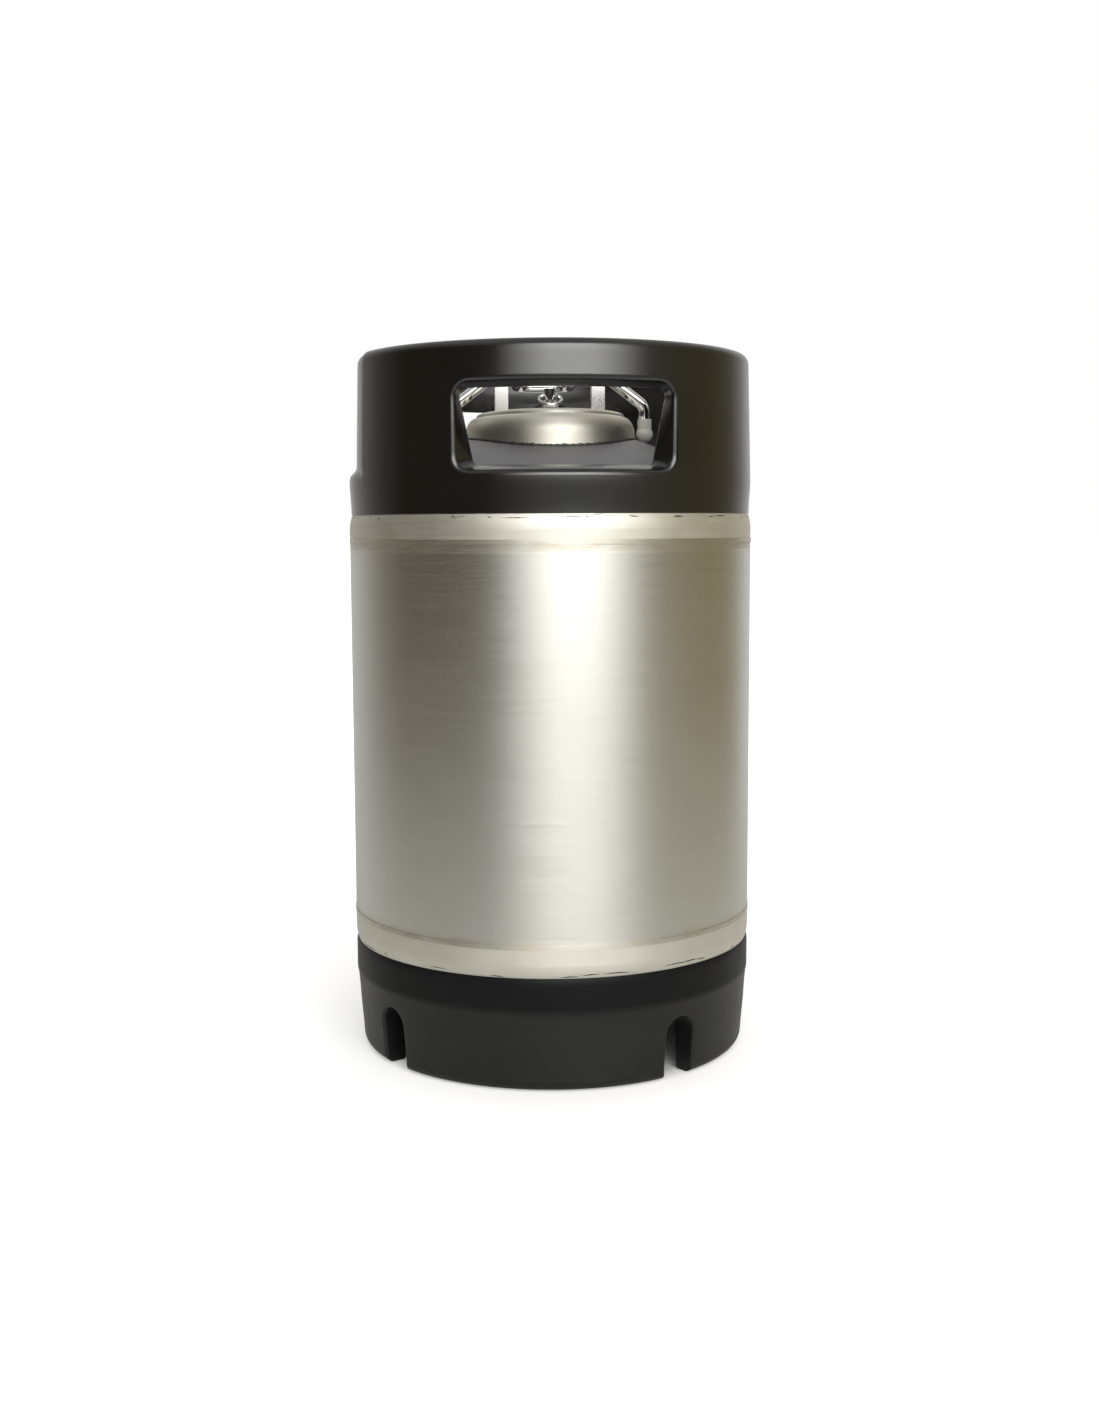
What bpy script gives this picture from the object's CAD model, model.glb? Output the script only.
"""Looks of the beer keg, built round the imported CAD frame. Metres, Z up, front handle window at -Y."""

import math
import random

import bmesh
import bpy
from mathutils import Matrix, Vector


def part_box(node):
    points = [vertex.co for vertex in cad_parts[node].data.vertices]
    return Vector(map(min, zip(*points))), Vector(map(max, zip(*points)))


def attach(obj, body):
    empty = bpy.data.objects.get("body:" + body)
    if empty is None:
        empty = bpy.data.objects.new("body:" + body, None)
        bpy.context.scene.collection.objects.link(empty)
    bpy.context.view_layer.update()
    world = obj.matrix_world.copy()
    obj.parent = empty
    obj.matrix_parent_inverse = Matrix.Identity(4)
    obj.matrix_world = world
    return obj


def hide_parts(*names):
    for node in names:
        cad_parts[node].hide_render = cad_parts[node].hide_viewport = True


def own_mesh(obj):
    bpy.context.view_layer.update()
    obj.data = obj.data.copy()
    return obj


MM = 0.001
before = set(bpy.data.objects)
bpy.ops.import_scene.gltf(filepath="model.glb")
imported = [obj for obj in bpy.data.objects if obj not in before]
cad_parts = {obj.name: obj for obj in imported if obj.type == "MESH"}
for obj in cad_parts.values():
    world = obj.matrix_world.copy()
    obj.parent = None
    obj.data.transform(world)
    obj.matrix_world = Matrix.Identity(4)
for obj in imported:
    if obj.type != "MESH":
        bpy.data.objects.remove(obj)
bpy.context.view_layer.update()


# ---------------------------------------------------------------- sizes taken from the frame

def node_box(name):
    """Lowest and highest corner of a CAD node, in millimetres."""
    lo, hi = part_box(name)
    return Vector(lo) / MM, Vector(hi) / MM


TOP_LO, TOP_HI = node_box("rubber_top")
BASE_Z = node_box("rubber_base")[1].z
BARREL_LO, BARREL_HI = node_box("shell_barrel")
NECK_LO, NECK_HI = node_box("hatch_neck")
BODY_R = node_box("top_dome")[1].x
RIM_Z = TOP_HI.z
SKIRT_Z = TOP_LO.z
UPPER_WELD_Z = BARREL_HI.z
LOWER_WELD_Z = BARREL_LO.z

CROWN_R = 150.0
CROWN_Z = 334.0
KNUCKLE_R = 21.0
KNUCKLE_X = BODY_R - KNUCKLE_R
KNUCKLE_RISE = math.sqrt((CROWN_R - KNUCKLE_R) ** 2 - KNUCKLE_X ** 2)
TOP_TANGENT_Z = CROWN_Z - (CROWN_R - KNUCKLE_RISE)
BASE_TANGENT_Z = 65.0
FIT_GAP = 0.05
SEAT_STEPS = 8
CUT_REACH = 12.0
JOIN_X = KNUCKLE_X * CROWN_R / (CROWN_R - KNUCKLE_R)


def dome_rise(x):
    """Height of the domed end's outside above its tangent line, at radius x."""
    if x < JOIN_X:
        return math.sqrt(CROWN_R ** 2 - x ** 2) - KNUCKLE_RISE
    return math.sqrt(max(KNUCKLE_R ** 2 - (x - KNUCKLE_X) ** 2, 0.0))


def dome_x(rise):
    """Radius of the knuckle at a height above the tangent line."""
    return KNUCKLE_X + math.sqrt(KNUCKLE_R ** 2 - rise ** 2)


def smooth(a, b, x):
    """Eases from 0 at a to 1 at b."""
    t = min(max((x - a) / (b - a), 0.0), 1.0)
    return t * t * (3 - 2 * t)


# ---------------------------------------------------------------- mesh helpers

def new_object(name, verts, faces, material=None, smooth_angle=35):
    """A mesh object from points in millimetres, with its faces turned outward."""
    mesh = bpy.data.meshes.new(name)
    mesh.from_pydata([Vector(v) * MM for v in verts], [], faces)
    mesh.validate()
    bm = bmesh.new()
    bm.from_mesh(mesh)
    bmesh.ops.recalc_face_normals(bm, faces=bm.faces)
    bm.to_mesh(mesh)
    bm.free()
    obj = bpy.data.objects.new(name, mesh)
    bpy.context.scene.collection.objects.link(obj)
    if material:
        mesh.materials.append(material)
    shade(obj, smooth_angle)
    return obj


def shade(obj, angle):
    """Smooth shading, with edges sharper than the angle kept crisp."""
    mesh = obj.data
    mesh.polygons.foreach_set("use_smooth", [True] * len(mesh.polygons))
    mesh.set_sharp_from_angle(angle=math.radians(angle))


def grid_faces(rows, cols, close_rows, close_cols):
    """Four-sided faces over a grid of points, joined end to end where asked."""
    faces = []
    for i in range(rows if close_rows else rows - 1):
        for j in range(cols if close_cols else cols - 1):
            a, b = i * cols + j, i * cols + (j + 1) % cols
            c, d = ((i + 1) % rows) * cols + (j + 1) % cols, ((i + 1) % rows) * cols + j
            faces.append((a, b, c, d))
    return faces


def lathe(name, outline, steps, material, dent=None):
    """Turns a closed outline of (radius, height) round Z; dent(azimuth, r, z) may change the radius."""
    verts = []
    for i in range(steps):
        a = 2 * math.pi * i / steps
        for r, z in outline:
            q = dent(a, r, z) if dent else r
            verts.append((q * math.cos(a), q * math.sin(a), z))
    return new_object(name, verts, grid_faces(steps, len(outline), True, True), material)


def arc(cx, cy, r, a0, a1, steps):
    """Points along a circle from angle a0 to a1, in degrees."""
    return [(cx + r * math.cos(math.radians(a0 + (a1 - a0) * i / steps)),
             cy + r * math.sin(math.radians(a0 + (a1 - a0) * i / steps))) for i in range(steps + 1)]


def resample(points, gap):
    """Adds points so that no step along an open line is longer than gap."""
    out = []
    for p, q in zip(points, points[1:]):
        n = max(1, math.ceil(math.dist(p, q) / gap))
        out += [(p[0] + (q[0] - p[0]) * k / n, p[1] + (q[1] - p[1]) * k / n) for k in range(n)]
    return out + [points[-1]]


def cut(obj, cutters):
    """Subtracts the cutters from obj for good, then removes them."""
    for cutter in cutters:
        mod = obj.modifiers.new("cut", "BOOLEAN")
        mod.operation = "DIFFERENCE"
        mod.solver = "EXACT"
        mod.object = cutter
    bpy.context.view_layer.update()
    done = obj.evaluated_get(bpy.context.evaluated_depsgraph_get())
    mesh = bpy.data.meshes.new_from_object(done)
    obj.modifiers.clear()
    old, obj.data = obj.data, mesh
    bpy.data.meshes.remove(old)
    for cutter in cutters:
        bpy.data.objects.remove(cutter)


def loft(name, rings):
    """Closed solid through rings of equal point count."""
    n = len(rings[0])
    verts = [p for ring in rings for p in ring]
    faces = grid_faces(len(rings), n, False, True)
    faces += [tuple(range(n)), tuple((len(rings) - 1) * n + k for k in range(n))]
    return new_object(name, verts, faces)


def quarter_rise(depth, radius):
    """How much a rounded edge opens a hole at a depth below the face it starts from."""
    left = max(radius - max(depth, 0.0), 0.0)
    return radius - math.sqrt(max(radius ** 2 - left ** 2, 0.0))


# ---------------------------------------------------------------- materials

class Nodes:
    """A small wrapper that keeps node code short."""

    def __init__(self, name):
        self.mat = bpy.data.materials.new(name)
        self.mat.use_nodes = True
        self.tree = self.mat.node_tree
        self.tree.nodes.clear()
        self.out = self.add("ShaderNodeOutputMaterial")
        self.bsdf = self.add("ShaderNodeBsdfPrincipled")
        self.link(self.bsdf.outputs[0], self.out.inputs[0])
        self.coord = self.add("ShaderNodeTexCoord").outputs["Object"]

    def add(self, kind, **props):
        node = self.tree.nodes.new(kind)
        for key, value in props.items():
            setattr(node, key, value)
        return node

    def link(self, a, b):
        self.tree.links.new(a, b)

    def put(self, socket, value):
        if hasattr(value, "is_output"):
            self.link(value, socket)
        else:
            socket.default_value = value

    def math(self, op, a, b=0.0, c=0.0, clamp=False):
        node = self.add("ShaderNodeMath", operation=op, use_clamp=clamp)
        for socket, value in zip(node.inputs, (a, b, c)):
            self.put(socket, value)
        return node.outputs[0]

    def xyz(self):
        return self.add_linked("ShaderNodeSeparateXYZ", self.coord).outputs

    def add_linked(self, kind, source):
        node = self.add(kind)
        self.link(source, node.inputs[0])
        return node

    def vector(self, x, y, z):
        node = self.add("ShaderNodeCombineXYZ")
        for socket, value in zip(node.inputs, (x, y, z)):
            self.put(socket, value)
        return node.outputs[0]

    def scaled(self, x, y, z):
        node = self.add("ShaderNodeMapping")
        self.link(self.coord, node.inputs["Vector"])
        node.inputs["Scale"].default_value = (x, y, z)
        return node.outputs[0]

    def noise(self, vector, scale, detail=2.0, rough=0.5):
        node = self.add("ShaderNodeTexNoise")
        self.put(node.inputs["Vector"], vector)
        node.inputs["Scale"].default_value = scale
        node.inputs["Detail"].default_value = detail
        node.inputs["Roughness"].default_value = rough
        return node.outputs["Fac"]

    def remap(self, value, a0, a1, b0, b1):
        node = self.add("ShaderNodeMapRange")
        node.clamp = True
        for socket, v in zip(node.inputs, (value, a0, a1, b0, b1)):
            self.put(socket, v)
        return node.outputs[0]

    def band(self, z, centre, half, soft):
        """1 where z is within half of centre, fading over soft."""
        off = self.math("ABSOLUTE", self.math("SUBTRACT", z, centre))
        return self.remap(off, half, half + soft, 1.0, 0.0)

    def mix(self, fac, a, b):
        node = self.add("ShaderNodeMix", data_type="RGBA")
        self.put(node.inputs[0], fac)
        self.put(node.inputs[6], a)
        self.put(node.inputs[7], b)
        return node.outputs[2]

    def bump(self, height, distance, strength=1.0, under=None):
        node = self.add("ShaderNodeBump")
        node.inputs["Strength"].default_value = strength
        node.inputs["Distance"].default_value = distance
        self.link(height, node.inputs["Height"])
        if under:
            self.link(under, node.inputs["Normal"])
        return node.outputs[0]

    def set(self, **values):
        names = {"color": "Base Color", "rough": "Roughness", "metal": "Metallic",
                 "aniso": "Anisotropic", "normal": "Normal", "tangent": "Tangent",
                 "spec": "Specular IOR Level", "turn": "Anisotropic Rotation"}
        for key, value in values.items():
            self.put(self.bsdf.inputs[names[key]], value)
        return self.mat


def rgb(r, g, b):
    """A full-strength colour for a node socket."""
    return (r, g, b, 1.0)


def round_brush(n, turns_scale=2.0, line_scale=900.0):
    """Fine brushing lines that run round the Z axis."""
    x, y, z = n.xyz()
    azimuth = n.math("ARCTAN2", y, x)
    long_lines = n.noise(n.vector(n.math("MULTIPLY", azimuth, turns_scale),
                                  n.math("MULTIPLY", z, line_scale), 0.0), 1.0, 3.0, 0.6)
    short_lines = n.noise(n.vector(n.math("MULTIPLY", azimuth, turns_scale * 9),
                                   n.math("MULTIPLY", z, line_scale * 3), 3.0), 1.0, 2.0, 0.7)
    return x, y, z, azimuth, long_lines, short_lines


HEAT_BAND = 0.0085
HEAT_BAND_LOW = (0.002, 0.006)
RIDGE_BELOW_WELD = 0.0062
DOME_TONE_SPLIT = (0.097, 0.101)


def barrel_steel():
    """Satin steel brushed round the barrel, with a patchy straw-coloured band beside each weld."""
    n = Nodes("barrel_brushed_steel")
    _, _, z, azimuth, lines, fine = round_brush(n)
    cloud = n.noise(n.coord, 14.0, 4.0, 0.6)
    patches = n.vector(n.math("MULTIPLY", azimuth, 6.0), n.math("MULTIPLY", z, 260.0), 1.0)
    patch = n.noise(patches, 1.0, 5.0, 0.7)
    below = n.remap(z, UPPER_WELD_Z * MM - HEAT_BAND, UPPER_WELD_Z * MM - 0.5 * HEAT_BAND, 0.0, 1.0)
    low_weld = LOWER_WELD_Z * MM
    above = n.remap(z, low_weld + HEAT_BAND_LOW[0], low_weld + HEAT_BAND_LOW[1], 1.0, 0.0)
    heat = n.math("MULTIPLY", n.math("MAXIMUM", below, above), n.remap(patch, 0.36, 0.60, 0.1, 1.0))
    mark = n.band(z, UPPER_WELD_Z * MM - RIDGE_BELOW_WELD, 0.0002, 0.0003)
    base = n.mix(n.remap(cloud, 0.3, 0.7, 0.0, 1.0), rgb(0.645, 0.635, 0.59), rgb(0.69, 0.685, 0.645))
    base = n.mix(n.math("MULTIPLY", heat, 0.65), base, rgb(0.58, 0.52, 0.40))
    base = n.mix(n.math("MULTIPLY", mark, 0.4), base, rgb(0.86, 0.84, 0.78))
    streaks = n.vector(n.math("MULTIPLY", azimuth, 1.2), n.math("MULTIPLY", z, 420.0), 5.0)
    streak = n.noise(streaks, 1.0, 4.0, 0.7)
    base = n.mix(n.remap(streak, 0.35, 0.7, 0.0, 0.12), base, rgb(0.50, 0.48, 0.44))
    rough = n.math("ADD", n.remap(lines, 0.25, 0.75, 0.31, 0.41), n.math("MULTIPLY", heat, 0.16))
    height = n.math("ADD", lines, n.math("MULTIPLY", fine, 0.6))
    ripple = n.noise(n.scaled(1, 1, 0.35), 9.0, 1.0)
    normal = n.bump(ripple, 0.0006, 0.35)
    normal = n.bump(height, 0.00002, 0.6, normal)
    tangent = n.add("ShaderNodeTangent", direction_type="RADIAL", axis="Z").outputs[0]
    return n.set(color=base, rough=rough, metal=1.0, aniso=0.6, turn=0.25, tangent=tangent, normal=normal)


def dome_steel():
    """Steel of the domed ends: ground and light outside the rubber, dull and grey inside the ring."""
    n = Nodes("dome_satin_steel")
    x, y, _, _, lines, _ = round_brush(n, 3.0, 500.0)
    reach = n.math("SQRT", n.math("ADD", n.math("MULTIPLY", x, x), n.math("MULTIPLY", y, y)))
    cloud = n.noise(n.coord, 30.0, 5.0, 0.65)
    outer = n.mix(cloud, rgb(0.66, 0.635, 0.56), rgb(0.80, 0.78, 0.71))
    inner = n.mix(cloud, rgb(0.27, 0.265, 0.275), rgb(0.36, 0.355, 0.365))
    out = n.remap(reach, DOME_TONE_SPLIT[0], DOME_TONE_SPLIT[1], 0.0, 1.0)
    rough = n.remap(n.math("ADD", cloud, lines), 0.6, 1.4, 0.46, 0.6)
    grain = n.noise(n.coord, 2600.0, 2.0)
    normal = n.bump(n.math("ADD", lines, n.math("MULTIPLY", grain, 0.5)), 0.00003, 0.5)
    return n.set(color=n.mix(out, inner, outer), rough=rough, metal=1.0, normal=normal)


def satin_steel(name, tone, low, high, scale=1200.0):
    """Plain stainless steel of one tone, its roughness drifting between low and high."""
    n = Nodes(name)
    cloud = n.noise(n.coord, 60.0, 4.0, 0.6)
    lines = n.noise(n.scaled(1.0, 1.0, 14.0), scale / 4, 3.0, 0.6)
    dark = tuple(c * 0.9 for c in tone)
    base = n.mix(cloud, rgb(*dark), rgb(*tone))
    rough = n.remap(cloud, 0.3, 0.7, low, high)
    return n.set(color=base, rough=rough, metal=1.0, normal=n.bump(lines, 0.00002, 0.4))


def rubber(name, tone, low, high, grain_depth, scuff=0.0, spec=0.5, spec_high=None, split_z=0.0):
    """Moulded rubber: a soft sheen, a fine pebble and faint dusty wear."""
    n = Nodes(name)
    cloud = n.noise(n.coord, 18.0, 5.0, 0.6)
    pebble = n.noise(n.coord, 1500.0, 3.0, 0.6)
    wave = n.noise(n.coord, 40.0, 2.0, 0.5)
    dust = n.remap(n.noise(n.scaled(1, 1, 2.2), 55.0, 6.0, 0.7), 0.52, 0.75, 0.0, scuff)
    light = tuple(min(1.0, c * 1.35 + 0.004) for c in tone)
    base = n.mix(cloud, rgb(*tone), rgb(*light))
    base = n.mix(dust, base, rgb(0.16, 0.155, 0.15))
    rough = n.math("ADD", n.remap(cloud, 0.3, 0.7, low, high), n.math("MULTIPLY", dust, 0.5))
    normal = n.bump(wave, 0.00025, 0.25)
    normal = n.bump(pebble, 0.00003, grain_depth, normal)
    if spec_high is not None:
        z = n.xyz()[2]
        spec = n.remap(z, split_z - 0.001, split_z + 0.003, spec, spec_high)
    return n.set(color=base, rough=rough, metal=0.0, spec=spec, normal=normal)


TOP_RUBBER = rubber("top_black_rubber", (0.0022, 0.0021, 0.0019), 0.16, 0.23, 0.2, 0.0, 1.0)
BASE_RUBBER = rubber("base_black_rubber", (0.0045, 0.0045, 0.005), 0.34, 0.44, 0.4, 0.03, 0.42, 0.12, 0.040)
SEAL_RUBBER = rubber("seal_black_rubber", (0.010, 0.010, 0.010), 0.35, 0.45, 0.4)
FOOT_RUBBER = rubber("foot_pale_rubber", (0.50, 0.48, 0.44), 0.45, 0.55, 0.6)
BARREL = barrel_steel()
DOME = dome_steel()
NECK = satin_steel("neck_satin_steel", (0.82, 0.79, 0.70), 0.44, 0.52)
LID = satin_steel("lid_bright_steel", (0.74, 0.73, 0.71), 0.17, 0.27)
VALVE = satin_steel("valve_turned_steel", (0.70, 0.69, 0.67), 0.16, 0.28)
POST = satin_steel("post_turned_steel", (0.76, 0.75, 0.73), 0.12, 0.22)
SPRING = satin_steel("spring_wire_steel", (0.66, 0.65, 0.64), 0.22, 0.32)
CHROME = satin_steel("polished_bar_steel", (0.84, 0.835, 0.82), 0.05, 0.10)
STRAP = satin_steel("strap_steel", (0.84, 0.83, 0.80), 0.26, 0.34)
WELD = satin_steel("weld_bead_steel", (0.82, 0.80, 0.74), 0.26, 0.40)
STAINED_WELD = satin_steel("stained_weld_steel", (0.12, 0.115, 0.105), 0.40, 0.60)

NODE_LOOKS = {
    "shell_barrel": BARREL, "top_dome": DOME, "bottom_dome": DOME, "hatch_neck": NECK,
    "lid": LID, "lid_gasket": SEAL_RUBBER, "bail_bracket": STRAP, "bail_lever": CHROME,
    "bail_feet": FOOT_RUBBER, "relief_body": VALVE, "relief_cap": VALVE, "relief_stem": CHROME,
    "relief_seal": SEAL_RUBBER, "relief_spring": SPRING, "relief_ring": CHROME,
    "rubber_top": TOP_RUBBER, "rubber_base": BASE_RUBBER,
}
for side in ("gas", "liquid"):
    for part, look in {"fitting": NECK, "tube": VALVE, "tube_oring": SEAL_RUBBER, "post": POST,
                       "post_oring": SEAL_RUBBER, "poppet": VALVE, "poppet_seal": SEAL_RUBBER,
                       "spring": SPRING}.items():
        NODE_LOOKS[side + "_" + part] = look
for node, look in NODE_LOOKS.items():
    mesh_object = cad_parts[node]
    mesh_object.data.materials.clear()
    mesh_object.data.materials.append(look)


# ---------------------------------------------------------------- rubber top

RIM_R = 106.2
BELLY_R = 107.7
BELLY_Z = 305.0
SKIRT_TUCK = 0.8
SKIRT_LIP = 0.3
RING_IN_R = 95.0
RIM_ROUND = 5.0
RIM_IN_ROUND = 4.0
WINDOW_TOP_Z = 347.0
WINDOW_LOW_Z = 311.0
WINDOW_HALF_OUT = 49.8
WINDOW_HALF_LOW = 43.6
WINDOW_CORNER = 3.5
WINDOW_ROUND = 2.4
WINDOW_FLARE = 3.4
WINDOW_IN_ROUND = 2.4
WINDOW_FACE_R = BELLY_R - 0.9
WINDOW_SIDE_STEPS = 14
CORNER_STEPS = 8
PANEL_DEPTH = 3.7
PANEL_HALF = math.radians(21)
PANEL_EASE = math.radians(0.7)
PANEL_RAMP = (306.5, 311.5)


def top_radius(z):
    """Outer radius of the rubber top at a height."""
    if z < BELLY_Z:
        return BELLY_R - SKIRT_TUCK * smooth(BELLY_Z, SKIRT_Z, z)
    return BELLY_R + (RIM_R - BELLY_R) * (z - BELLY_Z) / (RIM_Z - RIM_ROUND - BELLY_Z)


def top_outline():
    """The rubber top's closed section: outside, rolled rim, inside, then the face that sits on the dome."""
    skirt_x = dome_x(SKIRT_Z - TOP_TANGENT_Z) + FIT_GAP
    low, high, step = SKIRT_Z + SKIRT_LIP, RIM_Z - RIM_ROUND, 2.0
    count = int((high - low) / step)
    heights = [low + (high - low) * k / count for k in range(count)]
    outer = [(skirt_x, SKIRT_Z)] + [(top_radius(z), z) for z in heights]
    rim = arc(RIM_R - RIM_ROUND, RIM_Z - RIM_ROUND, RIM_ROUND, 0, 90, 8)
    inner = arc(RING_IN_R + RIM_IN_ROUND, RIM_Z - RIM_IN_ROUND, RIM_IN_ROUND, 90, 180, 7)
    seat_z = TOP_TANGENT_Z + dome_rise(RING_IN_R)
    wall = resample([(RING_IN_R, RIM_Z - RIM_IN_ROUND - step), (RING_IN_R, seat_z + FIT_GAP)], 2 * step)
    reach = [RING_IN_R + (skirt_x - RING_IN_R) * k / SEAT_STEPS for k in range(1, SEAT_STEPS)]
    seat = [(x, TOP_TANGENT_Z + dome_rise(x) + FIT_GAP) for x in reach]
    return outer + rim + inner + wall + seat


def side_panel(a, r, z):
    """The shallow recess moulded in the left flank, open at the rim."""
    off = abs(math.atan2(math.sin(a - math.pi), math.cos(a - math.pi)))
    across = 1 - smooth(PANEL_HALF - PANEL_EASE, PANEL_HALF + PANEL_EASE, off)
    up = smooth(PANEL_RAMP[0], PANEL_RAMP[1], z)
    outside = min((r - RING_IN_R) / (RIM_R - RING_IN_R), 1.0)
    return r - PANEL_DEPTH * across * up * outside


def window_ring(rho, spread, taper):
    """One closed ring of a handle window's cutter, on a cylinder of radius rho at the front."""
    c = WINDOW_CORNER + spread
    low_half = WINDOW_HALF_LOW + (WINDOW_HALF_OUT - WINDOW_HALF_LOW) * taper
    corners = [(WINDOW_HALF_OUT - WINDOW_CORNER, WINDOW_TOP_Z - WINDOW_CORNER, 0),
               (-WINDOW_HALF_OUT + WINDOW_CORNER, WINDOW_TOP_Z - WINDOW_CORNER, 90),
               (-low_half + WINDOW_CORNER, WINDOW_LOW_Z + WINDOW_CORNER, 180),
               (low_half - WINDOW_CORNER, WINDOW_LOW_Z + WINDOW_CORNER, 270)]
    line = []
    for cx, cz, a0 in corners:
        line += arc(cx, cz, c, a0, a0 + 90, CORNER_STEPS)
    dense = []
    for i, (p, q) in enumerate(zip(line, line[1:] + line[:1])):
        n = WINDOW_SIDE_STEPS if (i + 1) % (CORNER_STEPS + 1) == 0 else 1
        dense += [(p[0] + (q[0] - p[0]) * k / n, p[1] + (q[1] - p[1]) * k / n) for k in range(n)]
    return [(x, -math.sqrt(max(rho ** 2 - x ** 2, 1.0)), z) for x, z in dense]


def edge_steps(radius, steps):
    """Depths that follow a rounded edge evenly, from just inside the face to its full radius."""
    return [radius * (1 - math.cos(math.pi / 2 * k / steps)) for k in range(1, steps + 1)]


def window_cutter(turn):
    """The solid that opens one handle window: flared, with a rounded rim inside and out."""
    rings = []
    wall = WINDOW_FACE_R - RING_IN_R
    skin = 0.02
    levels = [-skin] + edge_steps(WINDOW_ROUND, 8)
    levels += [wall - depth for depth in reversed(edge_steps(WINDOW_IN_ROUND, 6))] + [wall + skin]
    for depth in levels:
        flare = WINDOW_FLARE * (1 - min(max(depth, 0.0), wall) / wall)
        spread = flare + quarter_rise(depth, WINDOW_ROUND) + quarter_rise(wall - depth, WINDOW_IN_ROUND)
        taper = 1 - smooth(0.0, wall, depth)
        rings.append(window_ring(WINDOW_FACE_R - depth, spread, taper))
    rings.insert(0, [(x, -BODY_R - CUT_REACH, z) for x, y, z in rings[0]])
    rings.append([(x, -RING_IN_R * math.cos(PANEL_HALF) + CUT_REACH, z) for x, y, z in rings[-1]])
    cutter = loft("window_cutter", rings)
    cutter.data.transform(Matrix.Rotation(turn, 4, "Z"))
    return cutter


def make_rubber_top():
    """The rubber top with its side recess and two handle windows."""
    piece = lathe("rubber_top_moulding", top_outline(), 360, TOP_RUBBER, side_panel)
    cut(piece, [window_cutter(0.0), window_cutter(math.pi)])
    shade(piece, 40)
    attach(piece, "keg")
    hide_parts("rubber_top")


# ---------------------------------------------------------------- rubber base

BASE_LOW_R = 104.6
BASE_MID_R = 106.4
BASE_HIGH_R = 107.5
BASE_STEP = 0.35
BASE_STEP_Z = 39.0
BASE_TUCK = 0.5
BASE_IN_R = 93.0
FOOT_ROUND = 5.0
SLOT_W = 18.0
SLOT_TOP_Z = 32.0
SLOT_TURN = -11.2
SLOT_ROUND = 1.8
SLOT_COUNT = 4
SLOT_STEP = 3.0
SLOT_SIDE_STEPS = 9
FOOT_CLEAR_Z = 6.0


def base_radius(z):
    """Outer radius of the rubber base, with its faint step where the moulding's two halves meet."""
    low = BASE_LOW_R + (BASE_MID_R - BASE_LOW_R) * smooth(2.0, 30.0, z)
    high = low + (BASE_HIGH_R - BASE_MID_R) * smooth(26.0, 44.0, z)
    step = BASE_STEP * smooth(BASE_STEP_Z, BASE_STEP_Z + 1.5, z)
    return high + step - BASE_TUCK * smooth(BASE_Z - 2.5, BASE_Z, z)


def base_outline():
    """The rubber base's closed section: foot, outside, lip, the face under the dome, then the inside."""
    lip_x = dome_x(BASE_TANGENT_Z - BASE_Z) + FIT_GAP
    foot_x, step, lip = BASE_LOW_R - FOOT_ROUND, 1.5, 0.4
    foot = [(foot_x, 0.0)] + arc(foot_x, FOOT_ROUND, FOOT_ROUND, -78, 0, 7)
    count = int((BASE_Z - lip - FOOT_ROUND) / step)
    outer = [(base_radius(z), z) for z in [FOOT_ROUND + step * k for k in range(1, count)]]
    top = [(base_radius(BASE_Z), BASE_Z - lip), (lip_x + lip / 3, BASE_Z), (lip_x, BASE_Z)]
    reach = [lip_x + (BASE_IN_R - lip_x) * k / SEAT_STEPS for k in range(1, SEAT_STEPS + 1)]
    seat = [(x, BASE_TANGENT_Z - dome_rise(x) - FIT_GAP) for x in reach]
    wall = resample([(BASE_IN_R, seat[-1][1] - step), (BASE_IN_R, 1.0)], 4 * step)
    return foot + outer + top + seat + wall + [(BASE_IN_R + 1.0, 0.0)]


def slot_cutter(azimuth):
    """The solid that opens one arched slot in the base, with a rounded outer rim."""
    half = SLOT_W / 2
    wall = BASE_LOW_R - BASE_IN_R + 1.0
    levels = [-6.0, -0.02] + edge_steps(SLOT_ROUND, 5) + [wall, wall + 8.0]
    rings = []
    for depth in levels:
        w = half + quarter_rise(depth, SLOT_ROUND)
        sides = [SLOT_STEP * (k - 1) for k in range(SLOT_SIDE_STEPS)]
        line = [(w, z) for z in sides] + arc(0, SLOT_TOP_Z - half, w, 0, 180, 16)
        line += [(-w, z) for z in reversed(sides)]
        line += [(w * k / 3, -SLOT_STEP) for k in (-2, -1, 0, 1, 2)]
        ring = []
        for t, z in line:
            rho = base_radius(max(z, FOOT_CLEAR_Z)) - depth
            ring.append((math.sqrt(max(rho ** 2 - t ** 2, 1.0)), t, z))
        rings.append(ring)
    cutter = loft("slot_cutter", rings)
    cutter.data.transform(Matrix.Rotation(math.radians(azimuth), 4, "Z"))
    return cutter


def make_rubber_base():
    """The rubber base with its four arched slots."""
    piece = lathe("rubber_base_moulding", base_outline(), 300, BASE_RUBBER)
    cut(piece, [slot_cutter(SLOT_TURN - 45 + 360 / SLOT_COUNT * i) for i in range(SLOT_COUNT)])
    shade(piece, 40)
    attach(piece, "keg")
    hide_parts("rubber_base")


# ---------------------------------------------------------------- welds and bond line

OVAL_UNIT = 7.5
END_Y = 3 * OVAL_UNIT
SIDE_X = 4 * OVAL_UNIT
NECK_W = 10.5
MOUTH_A = NECK_HI.x - NECK_W
MOUTH_B = NECK_HI.y - NECK_W
END_R = MOUTH_B - END_Y
SIDE_R = MOUTH_A + SIDE_X
SIDE_HALF = math.degrees(math.atan2(3, 4))


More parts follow.
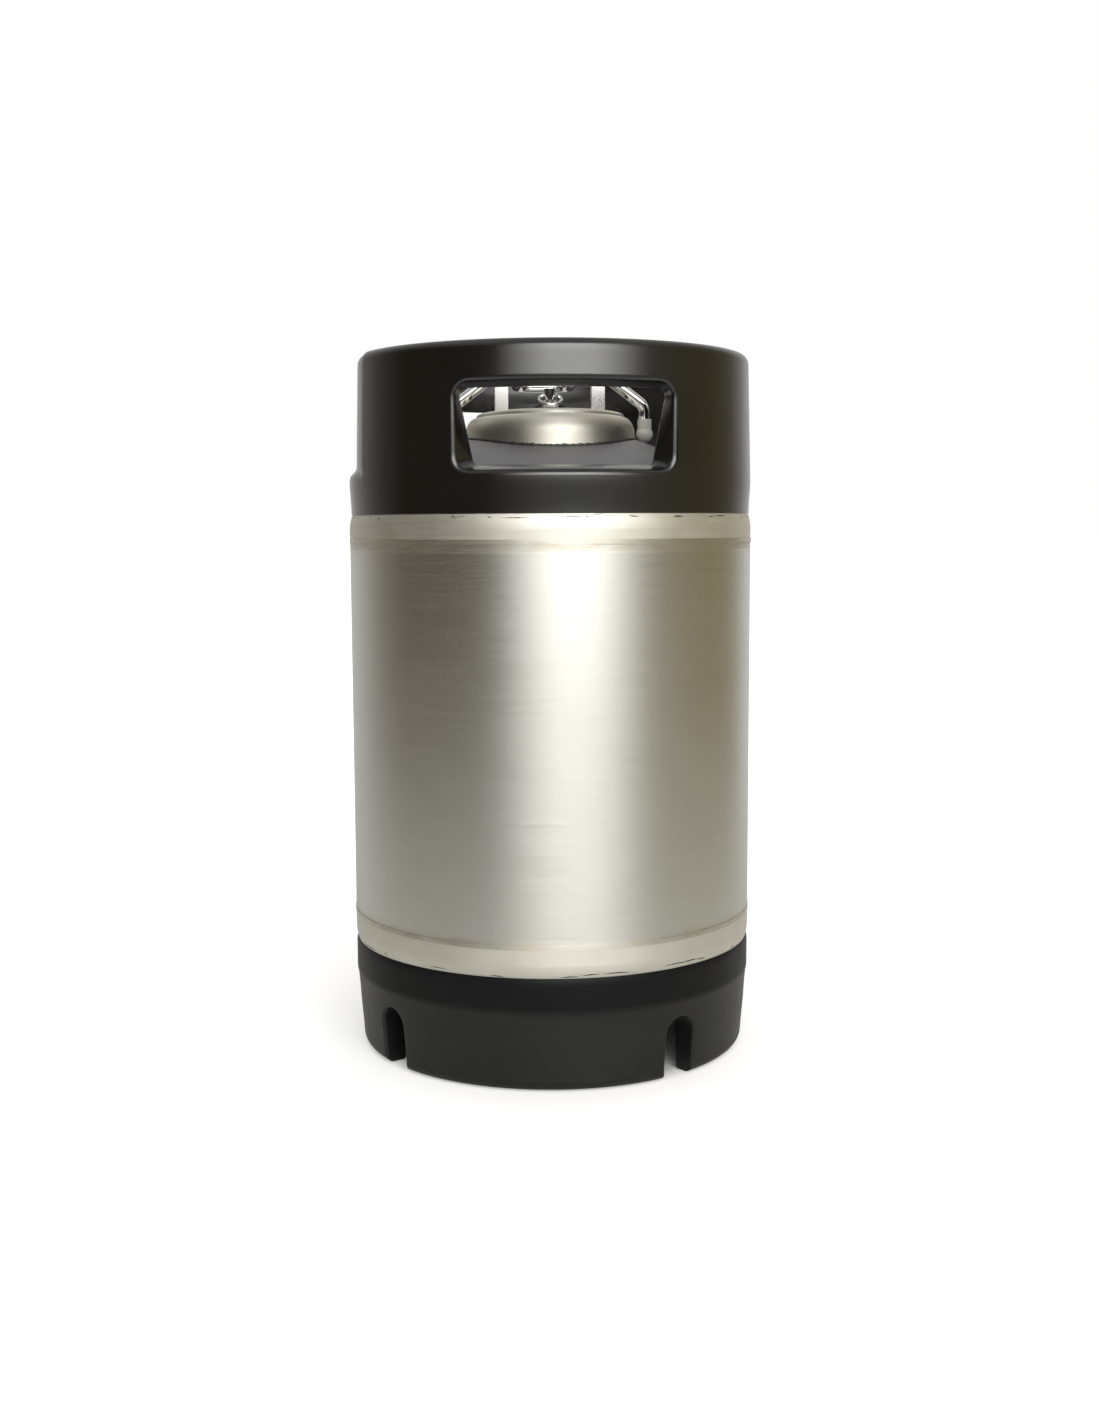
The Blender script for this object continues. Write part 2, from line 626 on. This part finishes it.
def oval(w, steps=26):
    """The hatch's oval outline, w outward from the opening's edge."""
    line = arc(-SIDE_X, 0, SIDE_R + w, -SIDE_HALF, SIDE_HALF, steps)[:-1]
    line += arc(0, END_Y, END_R + w, SIDE_HALF, 180 - SIDE_HALF, steps)[:-1]
    line += arc(SIDE_X, 0, SIDE_R + w, 180 - SIDE_HALF, 180 + SIDE_HALF, steps)[:-1]
    line += arc(0, -END_Y, END_R + w, 180 + SIDE_HALF, 360 - SIDE_HALF, steps)[:-1]
    return line


NECK_WALL = 2.5
NECK_TOP_Z = NECK_HI.z - 2.5
SEAL_Z = 333.0
SWELL_W = 5.2
SWELL_H = 9.5
LIP_R = 2.3
LIP_W = 2.35
LIP_LIFT = 0.2


def neck_profile():
    """The hatch neck's closed section as (distance outward from the opening, height)."""
    swell = [(NECK_W - SWELL_W + SWELL_W * math.cos(t), NECK_TOP_Z - SWELL_H + SWELL_H * math.sin(t))
             for t in [math.radians(9 * k) for k in range(11)]]
    foot = resample([(NECK_W, NECK_LO.z), swell[0]], 2.0)[:-1]
    groove = [(NECK_W - SWELL_W - 0.3, NECK_TOP_Z - 0.35), (NECK_W - SWELL_W - 0.6, NECK_TOP_Z)]
    lip = [(w, z + LIP_LIFT) for w, z in arc(LIP_W, NECK_TOP_Z, LIP_R, 0, 180, 12)]
    inside = NECK_W - NECK_WALL
    inner = [(0.05, SEAL_Z + 0.3), (0.35, SEAL_Z), (inside, SEAL_Z), (inside, NECK_LO.z)]
    return foot + swell + groove + lip + inner


def make_neck():
    """The pressed neck, rounder than its CAD stand-in, swept round the oval."""
    profile = neck_profile()
    rings = [[(x, y, z) for x, y in oval(w)] for w, z in profile]
    count = len(rings[0])
    verts = [p for ring in rings for p in ring]
    piece = new_object("hatch_neck_pressing", verts, grid_faces(len(rings), count, True, True), NECK, 30)
    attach(piece, "keg")
    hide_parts("hatch_neck")


def bead(name, path, radius, rng, wobble, material):
    """A weld bead: a closed tube along a path whose section swells a little at each puddle."""
    sides, n = 8, len(path)
    verts = []
    for i, p in enumerate(path):
        ahead = Vector(path[(i + 1) % n]) - Vector(path[i - 1])
        out = ahead.cross(Vector((0, 0, 1))).normalized()
        r = radius * (1 + wobble * (rng.random() - 0.5))
        for k in range(sides):
            a = 2 * math.pi * k / sides
            verts.append(Vector(p) + out * (r * math.cos(a)) + Vector((0, 0, r * math.sin(a))))
    piece = new_object(name, verts, grid_faces(n, sides, True, True), material, 60)
    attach(piece, "keg")
    return piece


NECK_BEAD_W = 10.7
NECK_BEAD_STEP = 1.2
NECK_BEAD_R = 0.7
NECK_BEAD_LIFT = 0.2
SHELL_BEAD_R = 0.8
SHELL_BEAD_SUNK = 0.55
SHELL_BEAD_OFF = 1.2
SHELL_BEAD_STEPS = 420


def make_welds():
    """The stained bead round the neck and the two beads round the shell."""
    rng = random.Random(7)
    path = []
    loop = oval(NECK_BEAD_W)
    for x, y in resample(loop + loop[:1], NECK_BEAD_STEP)[:-1]:
        path.append((x, y, TOP_TANGENT_Z + dome_rise(math.hypot(x, y)) + NECK_BEAD_LIFT))
    bead("neck_weld_bead", path, NECK_BEAD_R, rng, 0.9, STAINED_WELD)
    bead_x = BODY_R - SHELL_BEAD_SUNK
    beads = (("upper_weld_bead", UPPER_WELD_Z - SHELL_BEAD_OFF),
             ("lower_weld_bead", LOWER_WELD_Z + SHELL_BEAD_OFF))
    for name, z in beads:
        path = []
        for i in range(SHELL_BEAD_STEPS):
            a = 2 * math.pi * i / SHELL_BEAD_STEPS
            waver = 0.25 * math.sin(3 * a) + 0.12 * rng.random()
            path.append((bead_x * math.cos(a), bead_x * math.sin(a), z + waver))
        bead(name, path, SHELL_BEAD_R, rng, 0.10, WELD)


def make_bond_flecks(name, edge_z, away, shell_r, count, seed, look):
    """Thin smears of bonding rubber left on the steel near an edge; away is -1 below it, 1 above it."""
    rng = random.Random(seed)
    verts, faces = [], []
    steps, ring = 14, 4
    for _ in range(count):
        centre = math.radians(rng.uniform(-180, 180))
        half = rng.choice((1.5, 3.0, 7.0)) * rng.uniform(0.6, 1.2) / BODY_R
        off, slant = rng.uniform(0.5, 2.0), rng.uniform(-0.5, 0.5)
        height = rng.uniform(0.2, 0.6)
        start = len(verts)
        for i in range(steps + 1):
            t = i / steps
            a = centre + half * (2 * t - 1)
            tall = 0.05 + height * math.sin(math.pi * t) * rng.uniform(0.5, 1.0)
            spots = ((off, 0.0), (off, 0.18), (off + tall, 0.18), (off + tall, 0.0))
            for step, out in spots:
                z = edge_z + away * (step + slant * t)
                r = shell_r(z) + out - 0.1
                verts.append((r * math.cos(a), r * math.sin(a), z))
        for i in range(steps):
            for k in range(ring):
                p, q = start + i * ring, start + (i + 1) * ring
                faces.append((p + k, p + (k + 1) % ring, q + (k + 1) % ring, q + k))
        faces.append(tuple(start + k for k in range(ring)))
        faces.append(tuple(start + steps * ring + k for k in range(ring)))
    piece = new_object(name, verts, faces, look, 50)
    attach(piece, "keg")


# ---------------------------------------------------------------- springs

def make_spring(node, body):
    """A copy of a CAD spring that shortens with its joint, so its free end stays on the moving part."""
    piece = bpy.data.objects.new(node + "_coil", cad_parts[node].data.copy())
    bpy.context.scene.collection.objects.link(piece)
    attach(piece, body)
    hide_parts(node)
    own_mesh(piece)


# ---------------------------------------------------------------- all pieces

make_rubber_top()
make_rubber_base()
make_neck()
make_welds()
make_spring("relief_spring", "lid")
for side in ("gas", "liquid"):
    make_spring(side + "_spring", "keg")
make_bond_flecks("top_bond_flecks", SKIRT_Z, -1, lambda z: dome_x(z - TOP_TANGENT_Z),
                 52, 19, TOP_RUBBER)
make_bond_flecks("base_bond_flecks", BASE_Z, 1, lambda z: dome_x(BASE_TANGENT_Z - z),
                 26, 23, BASE_RUBBER)


# ---------------------------------------------------------------- studio

FLOOR_NEAR, FLOOR_FAR = 0.45, 1.3
UNDER_KEG = (0.090, 0.104)
FLOOR_HALF = 60000.0
FLOOR_Z = -0.5
FLOOR_TONE = rgb(0.9, 0.9, 0.9)
FLOOR_REFLECTED_TONE = rgb(0.76, 0.76, 0.74)
GLOW_REACH = (0.12, 0.5)
GLOW = (0.42, 0.75)


def make_floor():
    """A pale floor that shades to white away from the keg; only its near part shows in reflections."""
    n = Nodes("pale_floor")
    camera_ray = n.add("ShaderNodeLightPath").outputs["Is Camera Ray"]
    tone = n.mix(camera_ray, FLOOR_REFLECTED_TONE, FLOOR_TONE)
    n.set(color=tone, rough=0.7, metal=0.0, spec=0.1)
    x, y, z = n.xyz()
    reach = n.math("SQRT", n.math("ADD", n.math("MULTIPLY", x, x), n.math("MULTIPLY", y, y)))
    glow = n.add("ShaderNodeEmission")
    clear = n.remap(reach, UNDER_KEG[0], UNDER_KEG[1], 0.0, 1.0)
    strength = n.math("MULTIPLY", clear, n.remap(reach, GLOW_REACH[0], GLOW_REACH[1], GLOW[0], GLOW[1]))
    n.put(glow.inputs["Strength"], n.math("MULTIPLY", camera_ray, strength))
    lit = n.add("ShaderNodeAddShader")
    n.link(n.bsdf.outputs[0], lit.inputs[0])
    n.link(glow.outputs[0], lit.inputs[1])
    keep = n.math("MAXIMUM", camera_ray, n.remap(reach, FLOOR_NEAR, FLOOR_FAR, 1.0, 0.0))
    fade = n.add("ShaderNodeMixShader")
    n.put(fade.inputs[0], keep)
    n.link(n.add("ShaderNodeBsdfTransparent").outputs[0], fade.inputs[1])
    n.link(lit.outputs[0], fade.inputs[2])
    n.link(fade.outputs[0], n.out.inputs[0])
    corners = [(FLOOR_HALF * i, FLOOR_HALF * j, FLOOR_Z) for i, j in ((-1, -1), (1, -1), (1, 1), (-1, 1))]
    floor = new_object("studio_floor", corners, [(0, 1, 2, 3)], n.mat)


ROOM_STOPS = [(-180, (0.75, 0.75, 0.75)), (-140, (0.50, 0.49, 0.47)), (-116, (0.24, 0.22, 0.19)),
              (-95, (0.085, 0.065, 0.045)), (-45, (0.075, 0.057, 0.038)), (-20, (0.22, 0.21, 0.19)),
              (6, (0.42, 0.42, 0.40)), (34, (0.36, 0.35, 0.31)), (62, (0.26, 0.225, 0.145)),
              (95, (0.24, 0.195, 0.095)), (118, (0.30, 0.26, 0.18)), (144, (0.72, 0.72, 0.70)),
              (180, (0.75, 0.75, 0.75))]
SOFTBOX_AZIMUTH = (-33.0, 50.0)
SOFTBOX_BLEND = 30.0
SOFTBOX_ELEVATION = (4.6, 48.0)
SOFTBOX_LIGHT = 4.9
CEILING = (0.50, 0.50, 0.50)
CEILING_ELEVATION = (30.0, 62.0)


class WorldNodes(Nodes):
    """The same node helper for the world's tree."""

    def __init__(self):
        world = bpy.data.worlds.new("studio")
        bpy.context.scene.world = world
        world.use_nodes = True
        self.tree = world.node_tree
        self.tree.nodes.clear()
        self.coord = self.add("ShaderNodeTexCoord").outputs["Generated"]


def make_world():
    """A soft room: one broad panel in front, dim flanks and ceiling, a white wall behind."""
    n = WorldNodes()
    x, y, z = n.xyz()
    azimuth = n.math("DEGREES", n.math("ARCTAN2", x, n.math("MULTIPLY", y, -1.0)))
    elevation = n.math("DEGREES", n.math("ARCSINE", z))
    ramp = n.add("ShaderNodeValToRGB")
    n.put(ramp.inputs[0], n.remap(azimuth, -180.0, 180.0, 0.0, 1.0))
    while len(ramp.color_ramp.elements) < len(ROOM_STOPS):
        ramp.color_ramp.elements.new(0.5)
    for element, (degrees, colour) in zip(ramp.color_ramp.elements, ROOM_STOPS):
        element.position = degrees / 360 + 0.5
        element.color = (*colour, 1.0)
    overhead = n.remap(elevation, CEILING_ELEVATION[0], CEILING_ELEVATION[1], 0.0, 1.0)
    room = n.mix(overhead, ramp.outputs[0], rgb(*CEILING))
    az_mid, az_half = sum(SOFTBOX_AZIMUTH) / 2, (SOFTBOX_AZIMUTH[1] - SOFTBOX_AZIMUTH[0]) / 2
    el_mid, el_half = sum(SOFTBOX_ELEVATION) / 2, (SOFTBOX_ELEVATION[1] - SOFTBOX_ELEVATION[0]) / 2
    across = n.band(azimuth, az_mid, az_half - SOFTBOX_BLEND, SOFTBOX_BLEND)
    panel = n.math("MULTIPLY", across, n.band(elevation, el_mid, el_half - 1, 2.0))
    tone = n.mix(panel, room, rgb(SOFTBOX_LIGHT, SOFTBOX_LIGHT, SOFTBOX_LIGHT * 0.985))
    seen = n.add("ShaderNodeBackground")
    n.put(seen.inputs[0], tone)
    plain = n.add("ShaderNodeBackground")
    plain.inputs[0].default_value = rgb(1.0, 1.0, 1.0)
    pick = n.add("ShaderNodeMixShader")
    n.put(pick.inputs[0], n.add("ShaderNodeLightPath").outputs["Is Camera Ray"])
    n.link(seen.outputs[0], pick.inputs[1])
    n.link(plain.outputs[0], pick.inputs[2])
    n.link(pick.outputs[0], n.add("ShaderNodeOutputWorld").inputs[0])


CAMERA_SENSOR = 36.0
CAMERA_LENS = 41.8
CAMERA_TURN = math.radians(-4.4)
CAMERA_PITCH = math.radians(-6.365)
CAMERA_ROLL = math.radians(-0.267)
CAMERA_REACH = 0.902
CAMERA_SIDE = -0.00055
CAMERA_HEIGHT = 0.2805


def make_camera():
    """A camera in front of the handle window, a little to its left and looking slightly down."""
    data = bpy.data.cameras.new("camera")
    data.sensor_width = CAMERA_SENSOR
    data.lens = CAMERA_LENS
    camera = bpy.data.objects.new("camera", data)
    bpy.context.scene.collection.objects.link(camera)
    back = Vector((math.sin(CAMERA_TURN), -math.cos(CAMERA_TURN), 0))
    right = Vector((math.cos(CAMERA_TURN), math.sin(CAMERA_TURN), 0))
    camera.location = back * CAMERA_REACH + right * CAMERA_SIDE + Vector((0, 0, CAMERA_HEIGHT))
    ahead = (-back) * math.cos(CAMERA_PITCH) + Vector((0, 0, 1)) * math.sin(CAMERA_PITCH)
    aim = ahead.to_track_quat("-Z", "Y")
    camera.rotation_mode = "QUATERNION"
    camera.rotation_quaternion = aim @ Matrix.Rotation(CAMERA_ROLL, 4, "Z").to_quaternion()
    bpy.context.scene.camera = camera


make_floor()
make_world()
make_camera()
bpy.context.scene.view_settings.view_transform = "Standard"
